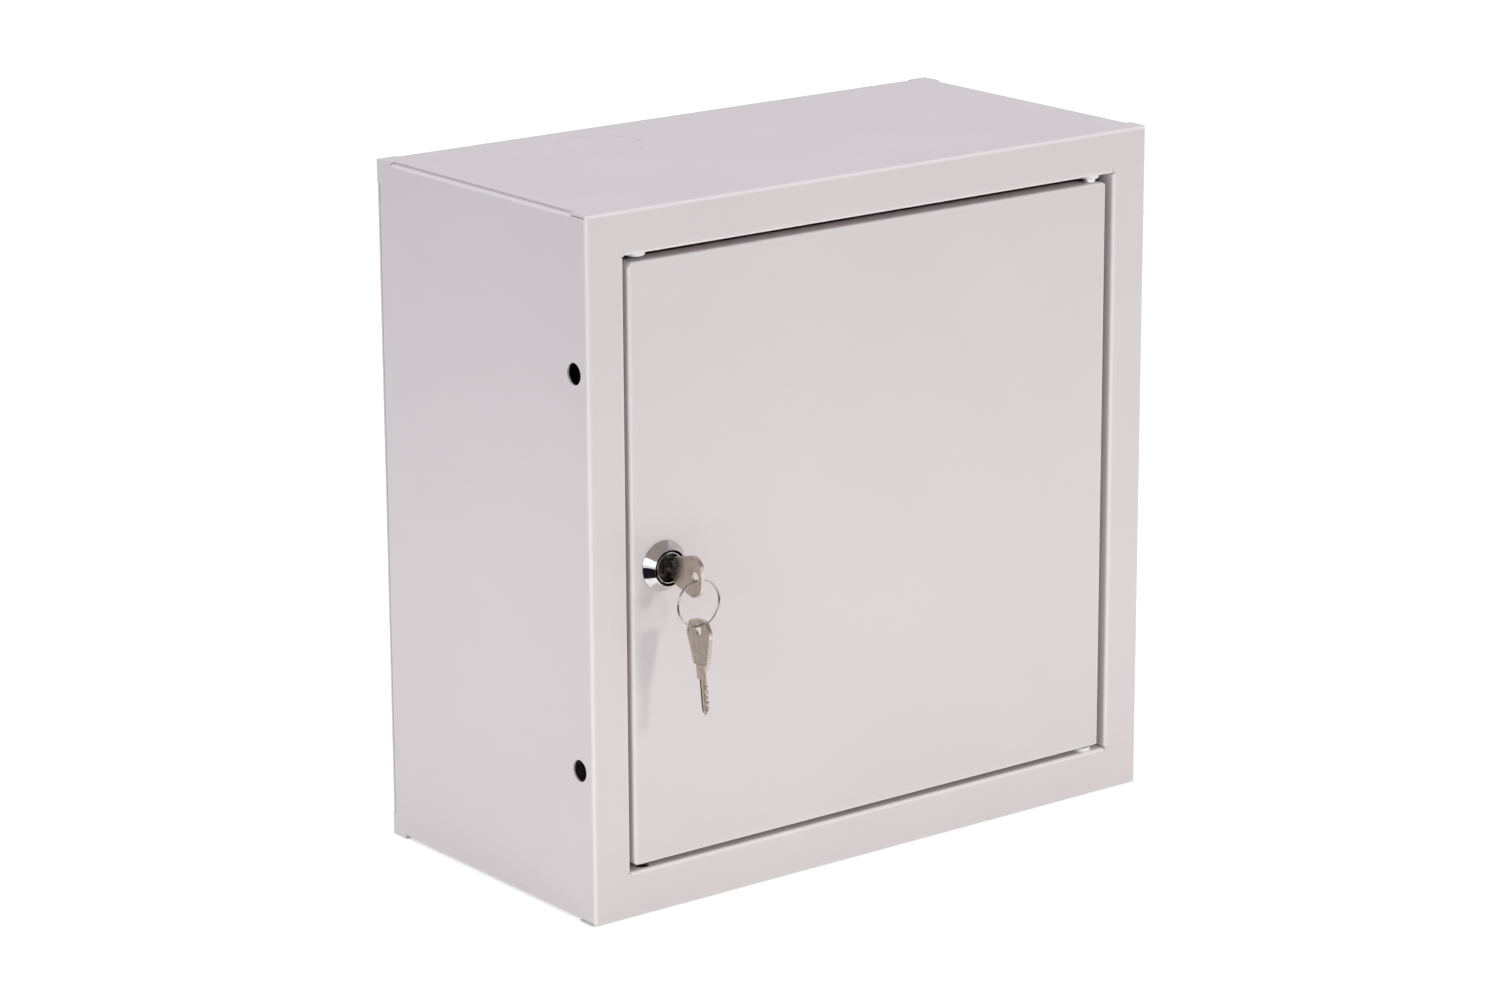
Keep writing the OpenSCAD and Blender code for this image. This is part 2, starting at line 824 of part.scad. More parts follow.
// Blade with five cuts along one edge and a pointed tip, from y = 0 at the shoulder.
module blade_outline() {
    cut_depths = [1.1, 0.5, 1.4, 0.8, 1.1];
    half = blade_w / 2;
    pitch = (blade_len - 4.5) / len(cut_depths);
    cuts = [for (i = [0 : len(cut_depths) - 1], p = [[0.15, 0], [0.4, 1], [0.65, 1], [0.9, 0]])
            [half - cut_depths[i] * p[1], 1 + (i + p[0]) * pitch]];
    polygon(concat([[-half, -cut], [half, -cut]], cuts,
                   [[half, blade_len - 2.2], [0.8, blade_len], [-0.8, blade_len], [-half, blade_len - 2.2]]));
}

// Key in its own frame: length along +Y from the end of the bow, width along X, thickness along Z.
module flat_key() {
    groove_w = 1.1;
    groove_depth = 0.4;
    shoulder_end = bow_len + shoulder_len;
    color(nickel_tan)
    difference() {
        union() {
            translate([0, 0, -key_t / 2])
                linear_extrude(key_t)
                    bow_outline();
            translate([-shoulder_w / 2, bow_len - cut, -key_t / 2])
                cube([shoulder_w, shoulder_len + cut, key_t]);
            translate([0, shoulder_end, -blade_t / 2])
                linear_extrude(blade_t)
                    blade_outline();
        }
        translate([0, bow_hole_in, -key_t])
            cylinder(d = bow_hole_d, h = 2 * key_t);
        for (side = [-1, 1])
            translate([-1.4 - groove_w / 2, shoulder_end - 3, side * blade_t / 2 - groove_depth])
                cube([groove_w, blade_len + 3 + cut, 2 * groove_depth]);
    }
}

module key_in_lock() {
    translate([lock_x, key_end_y, lock_z])
        rotate([0, 90, 0])
            flat_key();
}

// Turns what hangs from the key about the upright line through the hole of its bow.
module as_ring_hangs(z) {
    translate([lock_x, hole_y, z])
        rotate([0, 0, -ring_yaw])
            translate([ring_shift, 0, 0])
                children();
}

// Split ring: two turns of wire that lie against each other, each with its free end.
module key_ring() {
    end_gap = 10;
    end_angle = 8;
    color(chrome_grey)
    as_ring_hangs(ring_z)
        for (turn = [-1, 1])
            translate([0, -turn * turn_pitch / 2, 0])
                rotate([90, -end_angle - (1 + turn) * (end_gap / 2 + 2), 0])
                    rotate_extrude(angle = 360 - end_gap)
                        translate([ring_r, 0])
                            circle(d = ring_wire, $fn = 24);
}

// Hangs from the lowest point of the ring, with the bow up.
module spare_key() {
    as_ring_hangs(ring_z - ring_r)
        rotate([-spare_lean, 0, 0])
            translate([0, 0, bow_hole_in - wire_drop])
                rotate([-90, 0, 0])
                    rotate([0, 90, 0])
                        flat_key();
}

body_shell();
rear_panel();
upper_hinge_bush();
lower_hinge_bush();
hole_plug();
door_stops();
plate_studs();
plate_spacers();
mounting_plate();
plate_washers();
plate_nuts();
body_earth_stud();
body_earth_washer();
body_earth_nut();
door_panel();
upper_hinge_pin();
lower_hinge_pin();
lock_rosette();
lock_barrel();
lock_nut();
door_earth_stud();
door_earth_washer();
door_earth_nut();
lock_plug();
lock_cam();
cam_washer();
cam_screw();
key_in_lock();
key_ring();
spare_key();
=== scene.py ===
import json
import math

import bmesh
import bpy
from mathutils import Matrix, Vector


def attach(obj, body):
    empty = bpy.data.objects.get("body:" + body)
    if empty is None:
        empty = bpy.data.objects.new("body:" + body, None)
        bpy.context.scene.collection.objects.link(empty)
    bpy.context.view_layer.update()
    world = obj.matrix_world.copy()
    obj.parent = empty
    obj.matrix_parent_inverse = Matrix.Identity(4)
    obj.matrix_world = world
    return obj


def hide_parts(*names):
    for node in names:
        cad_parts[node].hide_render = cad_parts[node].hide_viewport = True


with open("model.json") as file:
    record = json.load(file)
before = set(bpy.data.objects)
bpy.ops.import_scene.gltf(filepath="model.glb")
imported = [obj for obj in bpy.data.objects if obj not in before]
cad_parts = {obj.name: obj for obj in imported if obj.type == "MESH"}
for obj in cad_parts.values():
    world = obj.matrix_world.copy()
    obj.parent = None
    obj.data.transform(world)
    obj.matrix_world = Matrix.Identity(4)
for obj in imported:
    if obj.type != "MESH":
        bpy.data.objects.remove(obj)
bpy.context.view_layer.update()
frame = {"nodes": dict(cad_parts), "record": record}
nodes = frame["nodes"]
print("frame loaded:", len(nodes), "nodes")


# Camera

view = {
    "place": Vector((-1.62746, -2.19199, 0.72351)),
    "turn": math.radians(37.5565),
    "rise": math.radians(15.4443),
    "roll": math.radians(-0.3033),
    "lens": 114.648,
    "sensor": 36,
    "clip": (0.05, 50),
}


def addCamera():
    camera = bpy.data.objects.new("camera", bpy.data.cameras.new("camera"))
    bpy.context.scene.collection.objects.link(camera)
    camera.data.sensor_width = view["sensor"]
    camera.data.lens = view["lens"]
    camera.data.clip_start, camera.data.clip_end = view["clip"]
    flat = math.cos(view["rise"])
    back = Vector((-math.sin(view["turn"]) * flat, -math.cos(view["turn"]) * flat, math.sin(view["rise"])))
    right = Vector((0, 0, 1)).cross(back).normalized()
    up = back.cross(right)
    spin = Matrix.Rotation(view["roll"], 4, back)
    aim = Matrix((right, up, back)).transposed().to_4x4()
    camera.matrix_world = Matrix.Translation(view["place"]) @ spin @ aim
    bpy.context.scene.camera = camera
    print("camera placed")


addCamera()


# Shader tools

class Wire:
    # an output socket that works in plain sums
    def __init__(self, tree, socket):
        self.tree = tree
        self.socket = socket

    def maths(self, operation, left, right):
        made = self.tree.nodes.new("ShaderNodeMath")
        made.operation = operation
        for index, value in enumerate((left, right)):
            if isinstance(value, Wire):
                self.tree.links.new(value.socket, made.inputs[index])
            else:
                made.inputs[index].default_value = value
        return Wire(self.tree, made.outputs[0])

    def __add__(self, other):
        return self.maths("ADD", self, other)

    def __radd__(self, other):
        return self.maths("ADD", other, self)

    def __sub__(self, other):
        return self.maths("SUBTRACT", self, other)

    def __rsub__(self, other):
        return self.maths("SUBTRACT", other, self)

    def __mul__(self, other):
        return self.maths("MULTIPLY", self, other)

    def __rmul__(self, other):
        return self.maths("MULTIPLY", other, self)


class Shader:
    # adds nodes to one tree: settings first, then values or wires for the sockets
    def __init__(self, tree):
        self.tree = tree

    def fill(self, made, inputs):
        for key, value in inputs.items():
            if isinstance(value, Wire):
                self.tree.links.new(value.socket, made.inputs[key])
            else:
                made.inputs[key].default_value = value

    def node(self, kind, settings=None, inputs=None, output=0):
        made = self.tree.nodes.new(kind)
        for key, value in (settings or {}).items():
            if key == "stops":
                ramp = made.color_ramp
                ramp.elements[0].position, ramp.elements[0].color = value[0]
                ramp.elements[1].position, ramp.elements[1].color = value[-1]
                for position, colour in value[1:-1]:
                    ramp.elements.new(position).color = colour
            else:
                setattr(made, key, value)
        self.fill(made, inputs or {})
        return Wire(self.tree, made.outputs[output])

    def mix(self, mask, low, high):
        return self.node("ShaderNodeMix", {"data_type": "RGBA"}, {0: mask, 6: low, 7: high}, output=2)

    def shown(self):
        # 1 where the camera sees a surface straight, in a mirror or through glass
        return (self.node("ShaderNodeLightPath", output="Is Camera Ray")
                + self.node("ShaderNodeLightPath", output="Is Glossy Ray")
                + self.node("ShaderNodeLightPath", output="Is Transmission Ray"))


class Finish(Shader):
    # one material of the object
    def __init__(self, name):
        self.material = bpy.data.materials.new(name)
        self.material.use_nodes = True
        super().__init__(self.material.node_tree)
        self.shader = self.tree.nodes["Principled BSDF"]
        self.place = self.node("ShaderNodeTexCoord", output="Object")

    def noise(self, size, detail=2.0, roughness=0.5, place=None):
        return self.node("ShaderNodeTexNoise", {}, {
            "Vector": place or self.place, "Scale": 1 / size, "Detail": detail, "Roughness": roughness})

    def folds(self):
        # 0 on a face square to the axes, 1 half way round a bend; it masks the painted highlight along the
        # bends
        facing = self.node("ShaderNodeTexCoord", output="Normal")
        along = [self.node("ShaderNodeSeparateXYZ", {}, {"Vector": facing}, output=axis) for axis in "XYZ"]
        x, y, z = (part * part for part in along)
        return 2.0 - 2.0 * (x * x + y * y + z * z)

    def stretched(self, scale):
        return self.node("ShaderNodeMapping", {}, {"Vector": self.place, "Scale": scale})

    def spread(self, wire, low, high):
        # stretches the span low to high over 0 to 1
        return self.node("ShaderNodeMapRange", {}, {"Value": wire, "From Min": low, "From Max": high})

    def bump(self, height, distance, strength=1.0):
        return self.node("ShaderNodeBump", {}, {"Height": height, "Distance": distance, "Strength": strength})

    def shade(self, **sockets):
        self.fill(self.shader, {key.replace("_", " "): value for key, value in sockets.items()})
        return self.material


# Powder coat: light grey, with a fine orange peel, and a painted highlight on its bends

coat = {"light": (0.733, 0.672, 0.650, 1), "dark": (0.698, 0.641, 0.621, 1), "fold": (0.92, 0.86, 0.83, 1),
        "peel": 0.0016, "grain": 0.0004}


def powderCoat():
    finish = Finish("powder coat")
    clouds = finish.spread(finish.noise(0.09, 3.0), 0.3, 0.7)
    grain = finish.noise(coat["grain"], 2.0)
    peel = finish.noise(coat["peel"], 1.0, 0.4)
    flat = finish.mix(clouds * 0.6 + grain * 0.4, coat["light"], coat["dark"])
    return finish.shade(
        # the bends are painted lighter: a painted highlight where light catches the rounded edges
        Base_Color=finish.mix(finish.folds() * 0.8, flat, coat["fold"]),
        Roughness=0.42 + finish.noise(0.004) * 0.12,
        Specular_IOR_Level=0.4,
        Normal=finish.bump(peel + grain * 0.25, 0.00006))


# Zinc: spangled on the mounting plate, plain on the small parts

zinc = {"light": (0.62, 0.63, 0.65, 1), "dark": (0.44, 0.46, 0.49, 1), "spangle": 0.007}


def galvanised():
    finish = Finish("spangled zinc")
    edgeShift = finish.noise(0.003, 3.0)
    warped = finish.node("ShaderNodeVectorMath", {"operation": "MULTIPLY_ADD"}, {
        0: finish.node("ShaderNodeTexNoise", {}, {"Vector": finish.place, "Scale": 400.0}, output="Color"),
        1: (0.0012, 0.0012, 0.0012), 2: finish.place})
    crystals = finish.node("ShaderNodeTexVoronoi", {}, {"Vector": warped, "Scale": 1 / zinc["spangle"]},
                           output="Color")
    tone = finish.node("ShaderNodeSeparateColor", {}, {"Color": crystals})
    return finish.shade(
        Base_Color=finish.mix(tone, zinc["light"], zinc["dark"]),
        Metallic=1.0,
        Roughness=0.30 + tone * 0.16 + edgeShift * 0.06,
        Normal=finish.bump(edgeShift + tone * 0.2, 0.00003))


def zincPlate():
    finish = Finish("zinc plate")
    clouds = finish.spread(finish.noise(0.008, 3.0), 0.3, 0.7)
    grain = finish.noise(0.0005, 2.0)
    return finish.shade(
        Base_Color=finish.mix(clouds, zinc["light"], zinc["dark"]),
        Metallic=1.0,
        Roughness=0.26 + clouds * 0.12 + grain * 0.08,
        Normal=finish.bump(grain, 0.00002))


def brassFinish():
    finish = Finish("brass")
    clouds = finish.spread(finish.noise(0.003, 2.0), 0.3, 0.7)
    return finish.shade(
        Base_Color=finish.mix(clouds, (0.70, 0.48, 0.18, 1), (0.58, 0.38, 0.14, 1)),
        Metallic=1.0,
        Roughness=0.25 + clouds * 0.15,
        Normal=finish.bump(finish.noise(0.0006), 0.00002))


# Lock metals: bright where it is polished; the casting inside the lock is painted near-black, a painted shade
# of the deep lock mouth

lockMetal = {"chrome": (0.71, 0.69, 0.67, 1), "haze": (0.58, 0.56, 0.54, 1),
             "paintedShadeCast": (0.085, 0.075, 0.07, 1), "paintedShadeCastDark": (0.03, 0.027, 0.025, 1)}


def chromeFinish():
    finish = Finish("polished chrome")
    haze = finish.spread(finish.noise(0.004, 4.0), 0.45, 0.75)
    scratches = finish.noise(0.0005, 3.0, 0.6, finish.stretched((1.0, 6.0, 1.0)))
    return finish.shade(
        Base_Color=finish.mix(haze, lockMetal["chrome"], lockMetal["haze"]),
        Metallic=1.0,
        Roughness=0.07 + haze * 0.08 + scratches * 0.04,
        Normal=finish.bump(finish.noise(0.0015), 0.00001))


# near-black metal: painted shade for the inside of the lock and the key's sunk faces
def paintedShadeCastFinish():
    finish = Finish("lock casting in painted shade")
    clouds = finish.spread(finish.noise(0.002, 3.0), 0.3, 0.7)
    return finish.shade(
        Base_Color=finish.mix(clouds, lockMetal["paintedShadeCast"], lockMetal["paintedShadeCastDark"]),
        Metallic=1.0,
        Roughness=0.24 + clouds * 0.2,
        Normal=finish.bump(finish.noise(0.0005), 0.00003))


def keyFinish():
    finish = Finish("worn nickel")
    clouds = finish.spread(finish.noise(0.004, 3.0), 0.3, 0.7)
    scratches = finish.noise(0.0003, 3.0, 0.7, finish.stretched((1.0, 1.0, 0.2)))
    return finish.shade(
        Base_Color=finish.mix(clouds, (0.63, 0.565, 0.50, 1), (0.54, 0.475, 0.41, 1)),
        Metallic=1.0,
        Roughness=0.17 + clouds * 0.08 + scratches * 0.14,
        Normal=finish.bump(scratches, 0.00002))


def ringFinish():
    finish = Finish("ring steel")
    clouds = finish.spread(finish.noise(0.002, 3.0), 0.3, 0.7)
    return finish.shade(
        Base_Color=finish.mix(clouds, (0.56, 0.54, 0.54, 1), (0.40, 0.38, 0.38, 1)),
        Metallic=1.0,
        Roughness=0.14 + clouds * 0.12,
        Normal=finish.bump(finish.noise(0.0004), 0.00001))


def plasticFinish():
    finish = Finish("white plastic")
    clouds = finish.spread(finish.noise(0.003, 2.0), 0.3, 0.7)
    return finish.shade(
        Base_Color=finish.mix(clouds, (0.90, 0.90, 0.89, 1), (0.84, 0.84, 0.82, 1)),
        Roughness=0.34 + clouds * 0.1,
        Normal=finish.bump(finish.noise(0.0006), 0.00002))


finishes = {
    "painted_steel": powderCoat(),
    "zinc_plate": zincPlate(),
    "brass": brassFinish(),
    "white_plastic": plasticFinish(),
    "bright_pin": chromeFinish(),
    "chrome": chromeFinish(),
    # lock_zinc takes the near-black casting, which is painted shade
    "lock_zinc": paintedShadeCastFinish(),
    "key_nickel": keyFinish(),
    "ring_steel": ringFinish(),
}
spangled = galvanised()
for part in frame["record"]["subparts"]:
    mesh = nodes[part["node"]].data
    mesh.materials.clear()
    mesh.materials.append(spangled if part["node"] == "mounting_plate" else finishes[part["material_slot"]])


# Tools for the pieces: shapes are drawn in millimetres and set in place in metres

def addPiece(name, shape, place, body, slot, stands=(), extra=(), sharp=32):
    bmesh.ops.transform(shape, matrix=place @ Matrix.Scale(0.001, 4), verts=shape.verts)
    bmesh.ops.recalc_face_normals(shape, faces=shape.faces)
    mesh = bpy.data.meshes.new(name)
    shape.to_mesh(mesh)
    shape.free()
    for material in (finishes[slot], *extra):
        mesh.materials.append(material)
    mesh.polygons.foreach_set("use_smooth", [True] * len(mesh.polygons))
    mesh.set_sharp_from_angle(angle=math.radians(sharp))
    piece = bpy.data.objects.new(name, mesh)
    bpy.context.scene.collection.objects.link(piece)
    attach(piece, body)
    if stands:
        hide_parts(*stands)
    return piece


def turn(angle, axis):
    return Matrix.Rotation(math.radians(angle), 4, axis)


def shift(x, y, z):
    # a step given in millimetres
    return Matrix.Translation((x / 1000, y / 1000, z / 1000))


def outwards(x, y, z):
    # a shape drawn along +Z points out of the front of the cabinet
    return shift(x, y, z) @ turn(90, "X")


def extruded(shape, faces, step, keep=False):
    # keep leaves the first faces in place, to close a flat drawing into a solid
    made = bmesh.ops.extrude_face_region(shape, geom=faces, use_keep_orig=keep)["geom"]
    corners = [item for item in made if isinstance(item, bmesh.types.BMVert)]
    bmesh.ops.translate(shape, verts=corners, vec=step)


def cutAcross(shape, point, facing):
    bmesh.ops.bisect_plane(shape, geom=shape.verts[:] + shape.edges[:] + shape.faces[:], dist=0.0001,
                           plane_co=point, plane_no=facing)


def edgesAmong(shape, verts):
    chosen = set(verts)
    return [edge for edge in shape.edges if chosen.issuperset(edge.verts)]


def addBlock(shape, size, middle):
    place = Matrix.Translation(middle) @ Matrix.Diagonal((*size, 1))
    made = bmesh.ops.create_cube(shape, size=1.0, matrix=place)
    return edgesAmong(shape, made["verts"])


def addHoop(shape, radius, middle, segments):
    made = bmesh.ops.create_circle(shape, segments=segments, radius=radius, matrix=Matrix.Translation(middle))
    return made["verts"]


def turned(shape, profile, steps=96, centre=(0, 0), closed=True):
    # spins a chain of (radius, height) points about the upright line through centre
    chain = [shape.verts.new((centre[0] + radius, centre[1], height)) for radius, height in profile]
    pairs = list(zip(chain, chain[1:])) + ([(chain[-1], chain[0])] if closed else [])
    edges = [shape.edges.new(pair) for pair in pairs]
    bmesh.ops.spin(shape, geom=chain + edges, cent=(*centre, 0), axis=(0, 0, 1), angle=math.tau,
                   steps=steps, use_merge=True)
    bmesh.ops.remove_doubles(shape, verts=shape.verts, dist=0.0005)
    return shape


def softened(shape, edges, width, segments=2):
    bmesh.ops.bevel(shape, geom=edges, offset=width, offset_type="OFFSET", affect="EDGES", segments=segments,
                    profile=0.5, material=-1, clamp_overlap=True)


def sharpEdges(shape, angle):
    return [edge for edge in shape.edges
            if len(edge.link_faces) == 2 and edge.calc_face_angle(0) > math.radians(angle)]


# Lock: rosette, barrel and plug on one line

lock = {"x": -150.5, "z": -1.0, "face": -199.5, "plugFace": -201.5}
rosette = {"rim": 14.5, "top": 10.45, "bore": 10.2, "height": 6.5, "recess": 12.7}
barrel = {"sleeve": 8.7, "sleeveBore": 7.9, "sleeveHeight": 6.1, "floor": 1.7, "bore": 6.55, "flange": 12.5,
          "radius": 9.5, "flats": 8.0, "length": 21.0, "pitch": 1.0, "thread": 0.45, "plain": 1.6}
plug = {
    "radius": 6.5, "length": 24.0,
    "slotWidth": 2.2, "slotHeight": 7.2, "slotDepth": 19.8,
    "tang": 7.0, "tangLength": 2.5,
    "boss": [(0.9, -0.05), (1.0, 0.2), (1.35, 0.3), (1.7, 0.2), (1.8, -0.05)], "bossAt": (-3.4, 0.2),
    "pip": [(0.0, 0.22), (0.4, 0.2), (0.62, -0.05)], "pipsAt": [(-2.6, 3.6), (-3.3, -3.7), (3.4, 3.4)],
}


def addRosette():
    top, height, bore = rosette["top"], rosette["height"], rosette["bore"]
    shape = turned(bmesh.new(), [
        (bore, 1.0), (rosette["recess"], 1.0), (rosette["recess"], 0), (rosette["rim"] - 0.25, 0),
        (rosette["rim"], 0.25), (rosette["rim"] - 0.1, 0.6), (rosette["rim"] - 0.35, 0.85),
        (top + 0.4, height - 0.62), (top + 0.12, height - 0.2), (top - 0.08, height),
        (bore + 0.05, height), (bore, height - 0.1)], steps=128)
    # faces round the bore take the near-black casting: painted shade in the mouth of the lock
    for face in shape.faces:
        if max(math.hypot(v.co.x, v.co.y) for v in face.verts) < bore + 0.1:
            face.material_index = 1
    addPiece("turned_rosette", shape, outwards(lock["x"], lock["face"], lock["z"]), "door", "chrome",
             ["lock_rosette"], [finishes["lock_zinc"]])


def addBarrel():
    radius, root = barrel["radius"], barrel["radius"] - barrel["thread"]
    threads = []
    height = -barrel["plain"]
    while height > 1.0 - barrel["length"]:
        threads += [(radius, height), (radius, height - 0.15), (root, height - 0.5), (root, height - 0.6)]
        height -= barrel["pitch"]
    sleeve, sleeveBore, top = barrel["sleeve"], barrel["sleeveBore"], barrel["sleeveHeight"]
    shape = turned(bmesh.new(), [
        (barrel["bore"], -barrel["length"]), (barrel["bore"], barrel["floor"]), (sleeveBore, barrel["floor"]),
        (sleeveBore, top - 0.9), (sleeve - 0.42, top - 0.08), (sleeve - 0.36, top), (sleeve - 0.1, top),
        (sleeve, top - 0.1), (sleeve, 1.0), (barrel["flange"], 1.0), (barrel["flange"], 0), (radius, 0),
        *threads, (root, -barrel["length"])])
    for vert in shape.verts:
        if vert.co.z < -0.001:
            vert.co.x = max(-barrel["flats"], min(barrel["flats"], vert.co.x))
    # the rim and the part behind the door are chrome; the rest of the sleeve and flange keeps the near-black
    # casting as painted shade
    for face in shape.faces:
        middle = face.calc_center_median()
        if middle.z > top - 0.07 or middle.z < -0.01:
            face.material_index = 1
    addPiece("threaded_barrel", shape, outwards(lock["x"], lock["face"], lock["z"]), "door", "lock_zinc",
             ["lock_barrel"], [finishes["chrome"]])


def addPlug():
    shape = bmesh.new()
    bmesh.ops.create_circle(shape, cap_ends=True, segments=72, radius=plug["radius"])
    for side in (Vector((1, 0, 0)), Vector((-1, 0, 0)), Vector((0, 1, 0)), Vector((0, -1, 0))):
        reach = plug["slotWidth"] / 2 if side.x else plug["slotHeight"] / 2
        cutAcross(shape, side * reach, side)
    extruded(shape, shape.faces[:], (0, 0, -plug["length"]), keep=True)
    slot = [face for face in shape.faces if face.calc_center_median().length < 0.1]
    extruded(shape, slot, (0, 0, -plug["slotDepth"]))
    bmesh.ops.recalc_face_normals(shape, faces=shape.faces)
    softened(shape, [edge for edge in sharpEdges(shape, 60) if min(v.co.z for v in edge.verts) > -0.01], 0.25)
    turned(shape, plug["boss"], 32, plug["bossAt"])
    for spot in plug["pipsAt"]:
        turned(shape, plug["pip"], 20, spot, closed=False)
    tang = plug["tang"]
    addBlock(shape, (tang, tang, plug["tangLength"]), (0, 0, -plug["length"] - plug["tangLength"] / 2))
    # the whole plug keeps the near-black casting: painted shade inside the lock
    addPiece("slotted_plug", shape, outwards(lock["x"], lock["plugFace"], lock["z"]), "lock_core",
             "lock_zinc", ["lock_plug"])


addRosette()
addBarrel()
addPlug()
print("lock turned")


# Keys: a flat bow with milled edges, a shoulder and a grooved blade, drawn along +Y from the end of the bow

key = {
    "outline": [(0, 0), (4.5, 0.2), (8.2, 1.3), (11.0, 5.2), (11.9, 8.4), (7.4, 25.4)],
    "thickness": 2.4, "corner": 1.3, "rim": 1.15, "step": 0.25, "sunk": 0.15, "ridges": 10, "ridgeDepth": 0.3,
    "hole": 3.2, "holeIn": 6.2, "holeEdge": [(0.35, 0), (0.1, 0.12), (0, 0.4)],
    "shoulder": (10.0, 8.4), "bowLength": 25.4,
    "bladeLength": 19.2, "bladeHalf": 3.4, "bladeThickness": 1.8,
    "cuts": [1.1, 0.5, 1.4, 0.8, 1.1], "cutFrom": 1.0, "tip": 3.5,
    "dimple": (0.5, 29.5),
}


def bow(shape):
    half = key["thickness"] / 2
    right = key["outline"]
    points = right + [(-x, y) for x, y in reversed(right) if x > 0]
    corners = [shape.verts.new((x, y, -half)) for x, y in points]
    shape.faces.new(corners)
    bmesh.ops.bevel(shape, geom=[v for v in corners if abs(v.co.x) > 0], offset=key["corner"],
                    affect="VERTICES", segments=4, profile=0.5, material=-1)
    extruded(shape, shape.faces[:], (0, 0, key["thickness"]), keep=True)
    bmesh.ops.recalc_face_normals(shape, faces=shape.faces)
    caps = [face for face in shape.faces if abs(face.normal.z) > 0.9]
    holes = []
    for cap in caps:
        bmesh.ops.inset_individual(shape, faces=[cap], thickness=key["rim"], depth=0)
        bmesh.ops.inset_individual(shape, faces=[cap], thickness=key["step"], depth=-key["sunk"])
        level = cap.calc_center_median().z
        hoops = []
        for wider, deeper in key["holeEdge"]:
            middle = (0, key["holeIn"], level - math.copysign(deeper, level))
            hoops.append(edgesAmong(shape, addHoop(shape, key["hole"] + wider, middle, 40)))
        border = list(cap.edges)
        bmesh.ops.delete(shape, geom=[cap], context="FACES_ONLY")
        bmesh.ops.triangle_fill(shape, edges=border + hoops[0], use_beauty=True, normal=(0, 0, 1))
        for outer, inner in zip(hoops, hoops[1:]):
            bmesh.ops.bridge_loops(shape, edges=outer + inner)
        holes.append(hoops[-1])
    bmesh.ops.bridge_loops(shape, edges=holes[0] + holes[1])
    # the long slanting edges of the bow, which carry the ridges
    slanting = [edge for edge in shape.edges
                if edge.calc_length() > 12 and abs(edge.verts[0].co.z) > half - 0.001
                and abs(abs(edge.verts[0].co.x) - abs(edge.verts[1].co.x)) > 2
                and any(abs(face.normal.z) < 0.1 for face in edge.link_faces)]
    made = bmesh.ops.subdivide_edges(shape, edges=slanting, cuts=2 * key["ridges"] - 1)["geom_inner"]
    inner = sorted([v for v in made if isinstance(v, bmesh.types.BMVert)], key=lambda v: v.co.y)
    for index, vert in enumerate(inner):
        if (index // 4) % 2 == 0:
            vert.co.x -= math.copysign(key["ridgeDepth"], vert.co.x)


def shoulder(shape):
    width, length = key["shoulder"]
    softened(shape, addBlock(shape, (width, length + 1.0, key["thickness"]),
                             (0, key["bowLength"] + length / 2 - 0.5, 0)), 0.25)
    half = key["thickness"] / 2
    for face in (-1, 1):
        turned(shape, [(0.7, face * (half - 0.1)), (0.8, face * (half + 0.12)), (1.15, face * (half + 0.2)),
                       (1.5, face * (half + 0.12)), (1.6, face * (half - 0.1))], 32, key["dimple"])


def joined(shape, other):
    mesh = bpy.data.meshes.new("joined")
    other.to_mesh(mesh)
    other.free()
    shape.from_mesh(mesh)
    bpy.data.meshes.remove(mesh)


def blade():
    shape = bmesh.new()
    half, deep, length = key["bladeHalf"], key["bladeThickness"] / 2, key["bladeLength"]
    start = key["bowLength"] + key["shoulder"][1]
    # half the blade's section: thin along the back, with a groove in the middle
    side = [(-half, deep * 0.45), (-half + 1.9, deep * 0.45), (-half + 2.2, deep), (-0.2, deep),
            (0.1, deep * 0.55), (0.9, deep * 0.55), (1.2, deep), (half - 0.5, deep), (half, deep * 0.6)]
    section = [shape.verts.new((x, start - 0.4, z)) for x, z in side + [(x, -z) for x, z in reversed(side)]]
    shape.faces.new(section)
    extruded(shape, shape.faces[:], (0, length + 0.4, 0), keep=True)
    pitch = (length - key["cutFrom"] - key["tip"]) / len(key["cuts"])
    # places along the blade: how deep it is cut there, and how far it narrows to the tip
    stations = [(length - 2.4, 0, 1.0), (length - 1.3, 0, 0.86), (length - 0.6, 0, 0.66),
                (length - 0.15, 0, 0.42), (length, 0, 0.3)]
    for index, depth in enumerate(key["cuts"]):
        stations += [(key["cutFrom"] + (index + along) * pitch, depth * share, 1.0)
                     for along, share in ((0.12, 0), (0.38, 1), (0.62, 1), (0.88, 0))]
    for along, depth, share in stations:
        if along < length:
            cutAcross(shape, (0, start + along, 0), (0, 1, 0))
    for vert in shape.verts:
        for along, depth, share in stations:
            if abs(vert.co.y - start - along) < 0.001:
                if vert.co.x > half - 0.6:
                    vert.co.x -= depth
                vert.co.x *= share
    bmesh.ops.recalc_face_normals(shape, faces=shape.faces)
    # the groove floor and the thin back take the near-black casting: painted shade in the grooves
    for face in shape.faces:
        middle = face.calc_center_median()
        if abs(face.normal.z) > 0.8 and abs(middle.z) < deep * 0.7:
            face.material_index = 1
    return shape


def addKey(name, place, body, stands):
    shape = bmesh.new()
    bow(shape)
    shoulder(shape)
    joined(shape, blade())
    addPiece(name, shape, place, body, "key_nickel", [stands], [finishes["lock_zinc"]], sharp=25)


# Ring: two turns of round wire, which step over beside their free ends

ring = {
    "radius": 13.0, "wire": 0.5, "pitch": 0.96,
    "start": -26, "single": 35, "ends": 2,
    "shift": 1.6, "yaw": -6, "lean": -8, "drop": 2.0,
}
keyEnd = lock["plugFace"] - 0.1 - key["shoulder"][1] - key["bowLength"]
ringDrop = ring["drop"] + math.sqrt(ring["radius"] ** 2 - ring["shift"] ** 2)


